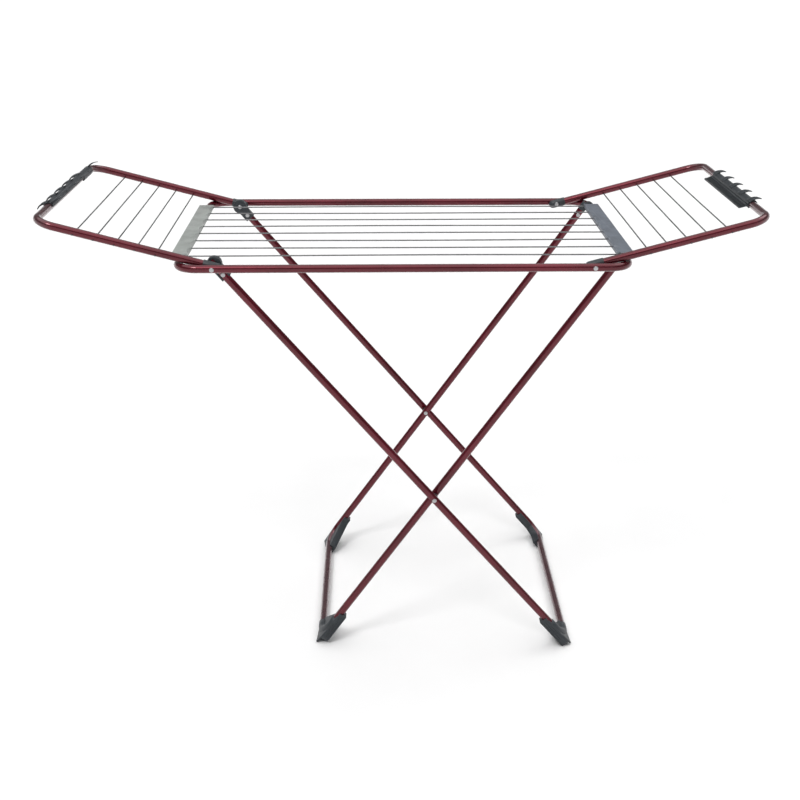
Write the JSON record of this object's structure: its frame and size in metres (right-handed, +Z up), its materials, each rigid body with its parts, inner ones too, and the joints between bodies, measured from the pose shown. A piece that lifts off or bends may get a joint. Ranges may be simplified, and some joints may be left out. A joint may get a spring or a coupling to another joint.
{
  "type": "clothes drying rack",
  "caption": "Folding floor-standing clothes airer with a wired rectangular top frame on crossed tube legs and a wired, tilting wing at each end.",
  "frame": {"origin": "on the floor, under the middle of the top frame", "axes": "+Z up, +X along the length towards the end that the inner legs clip to, +Y across towards the back"},
  "size_m": [1.4472, 0.6122, 0.9762],
  "materials": {
    "tube_paint": "glossy burgundy metallic lacquer",
    "wire_coating": "satin grey coated wire",
    "charcoal_plastic": "fine moulded texture",
    "light_strip": "light grey satin",
    "grey_strip": "blue-grey satin",
    "rivet_steel": "bright zinc",
    "inner_steel": "plain steel",
    "spacer_plastic": "black nylon"
  },
  "bodies": {
    "outer_legs": {"outer_leg_front": "tube_paint", "outer_shoe_front": "charcoal_plastic", "leg_joint_front": "charcoal_plastic", "outer_leg_back": "tube_paint", "outer_shoe_back": "charcoal_plastic", "leg_joint_back": "charcoal_plastic", "outer_bar_spigot": "inner_steel", "joint_rivets": "rivet_steel", "cross_rivets": "rivet_steel", "cross_washers": "spacer_plastic"},
    "top_frame": {"rail_spigot_front": "inner_steel", "rail_spigot_back": "inner_steel", "frame_tube_left": "tube_paint", "end_strip_left": "light_strip", "left_pivot_rivets": "rivet_steel", "frame_tube_right": "tube_paint", "end_strip_right": "grey_strip", "right_pivot_rivets": "rivet_steel", "frame_wire_1": "wire_coating", "frame_wire_2": "wire_coating", "frame_wire_3": "wire_coating", "frame_wire_4": "wire_coating", "frame_wire_5": "wire_coating", "frame_wire_6": "wire_coating", "frame_wire_7": "wire_coating", "frame_wire_8": "wire_coating"},
    "inner_legs": {"inner_leg_front": "tube_paint", "inner_shoe_front": "charcoal_plastic", "leg_clip_front": "charcoal_plastic", "inner_leg_back": "tube_paint", "inner_shoe_back": "charcoal_plastic", "leg_clip_back": "charcoal_plastic", "inner_bar_spigot": "inner_steel", "clip_rivets": "rivet_steel"},
    "wing_left": {"left_arm_cap_front": "charcoal_plastic", "left_arm_cap_back": "charcoal_plastic", "left_wing_tube": "tube_paint", "left_wing_wire_1": "wire_coating", "left_wing_wire_2": "wire_coating", "left_wing_wire_3": "wire_coating", "left_wing_wire_4": "wire_coating", "left_wing_wire_5": "wire_coating", "left_tail_clip": "charcoal_plastic"},
    "wing_right": {"right_arm_cap_front": "charcoal_plastic", "right_arm_cap_back": "charcoal_plastic", "right_wing_tube": "tube_paint", "right_wing_wire_1": "wire_coating", "right_wing_wire_2": "wire_coating", "right_wing_wire_3": "wire_coating", "right_wing_wire_4": "wire_coating", "right_wing_wire_5": "wire_coating"},
    "comb_left": {"left_hanger_comb": "charcoal_plastic"},
    "comb_right": {"right_hanger_comb": "charcoal_plastic"}
  },
  "joints": [
    {"name": "top_frame_fold", "type": "hinge", "parent": "outer_legs", "child": "top_frame", "pos_m": [-0.3695, 0, 0.865], "axis": [0, 1, 0], "range_deg": [0, 47.5]},
    {"name": "inner_legs_swing", "type": "hinge", "parent": "outer_legs", "child": "inner_legs", "pos_m": [0.06427, 0, 0.35538], "axis": [0, 1, 0], "range_deg": [-78.5, 0]},
    {"name": "left_wing_fold", "type": "hinge", "parent": "top_frame", "child": "wing_left", "pos_m": [-0.3695, 0, 0.865], "axis": [0, 1, 0], "range_deg": [0, 159]},
    {"name": "right_wing_fold", "type": "hinge", "parent": "top_frame", "child": "wing_right", "pos_m": [0.3695, 0, 0.865], "axis": [0, -1, 0], "range_deg": [0, 159]},
    {"name": "left_comb_turn", "type": "hinge", "parent": "wing_left", "child": "comb_left", "pos_m": [-0.70679, 0, 0.95465], "axis": [0, -1, 0], "range_deg": [-90, 30]},
    {"name": "right_comb_turn", "type": "hinge", "parent": "wing_right", "child": "comb_right", "pos_m": [0.70679, 0, 0.95465], "axis": [0, 1, 0], "range_deg": [-40, 80]}
  ],
  "couplings": [
    {"joint": "inner_legs_swing", "follows": "top_frame_fold", "ratio": -1.6515}
  ]
}
